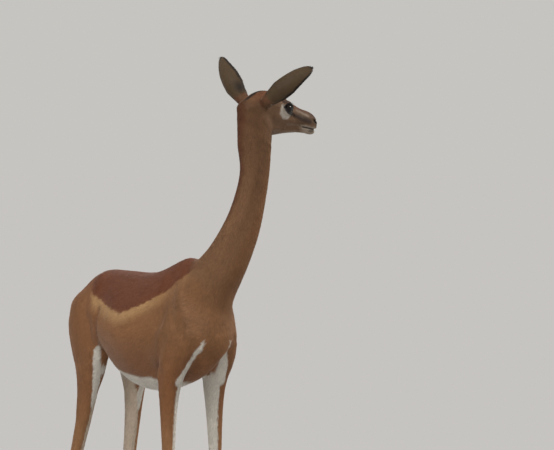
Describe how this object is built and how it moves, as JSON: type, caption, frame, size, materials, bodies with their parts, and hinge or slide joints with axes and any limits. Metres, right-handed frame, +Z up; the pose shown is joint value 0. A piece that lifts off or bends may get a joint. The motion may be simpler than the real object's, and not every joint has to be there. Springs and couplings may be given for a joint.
{
  "type": "gerenuk",
  "caption": "Standing adult female gerenuk, a long-necked slender antelope, as a still life-size model with its neck raised and its head turned to its left.",
  "frame": {"origin": "middle of the bounding box's underside, on the floor between the hooves", "axes": "+X the way the trunk faces, +Y the animal's left, +Z up"},
  "size_m": [0.9424, 0.4004, 1.4985],
  "materials": {
    "coat_saddle": "short smooth reddish-brown hair",
    "coat_fawn": "short smooth fawn hair",
    "coat_ear": "very short grey-brown hair",
    "coat_tail": "long blackish hair",
    "eye": "wet, glossy, near black",
    "hoof": "dark satin horn"
  },
  "bodies": {
    "root": {"torso": "coat_saddle", "neck": "coat_fawn", "head": "coat_fawn", "ear_left": "coat_ear", "ear_right": "coat_ear", "eye_left": "eye", "eye_right": "eye", "tail": "coat_tail", "foreleg_left_upper": "coat_fawn", "foreleg_left_lower": "coat_fawn", "foreleg_left_claw_outer": "hoof", "foreleg_left_claw_inner": "hoof", "foreleg_right_upper": "coat_fawn", "foreleg_right_lower": "coat_fawn", "foreleg_right_claw_outer": "hoof", "foreleg_right_claw_inner": "hoof", "hindleg_left_upper": "coat_fawn", "hindleg_left_lower": "coat_fawn", "hindleg_left_claw_outer": "hoof", "hindleg_left_claw_inner": "hoof", "hindleg_right_upper": "coat_fawn", "hindleg_right_lower": "coat_fawn", "hindleg_right_claw_outer": "hoof", "hindleg_right_claw_inner": "hoof"}
  },
  "joints": []
}
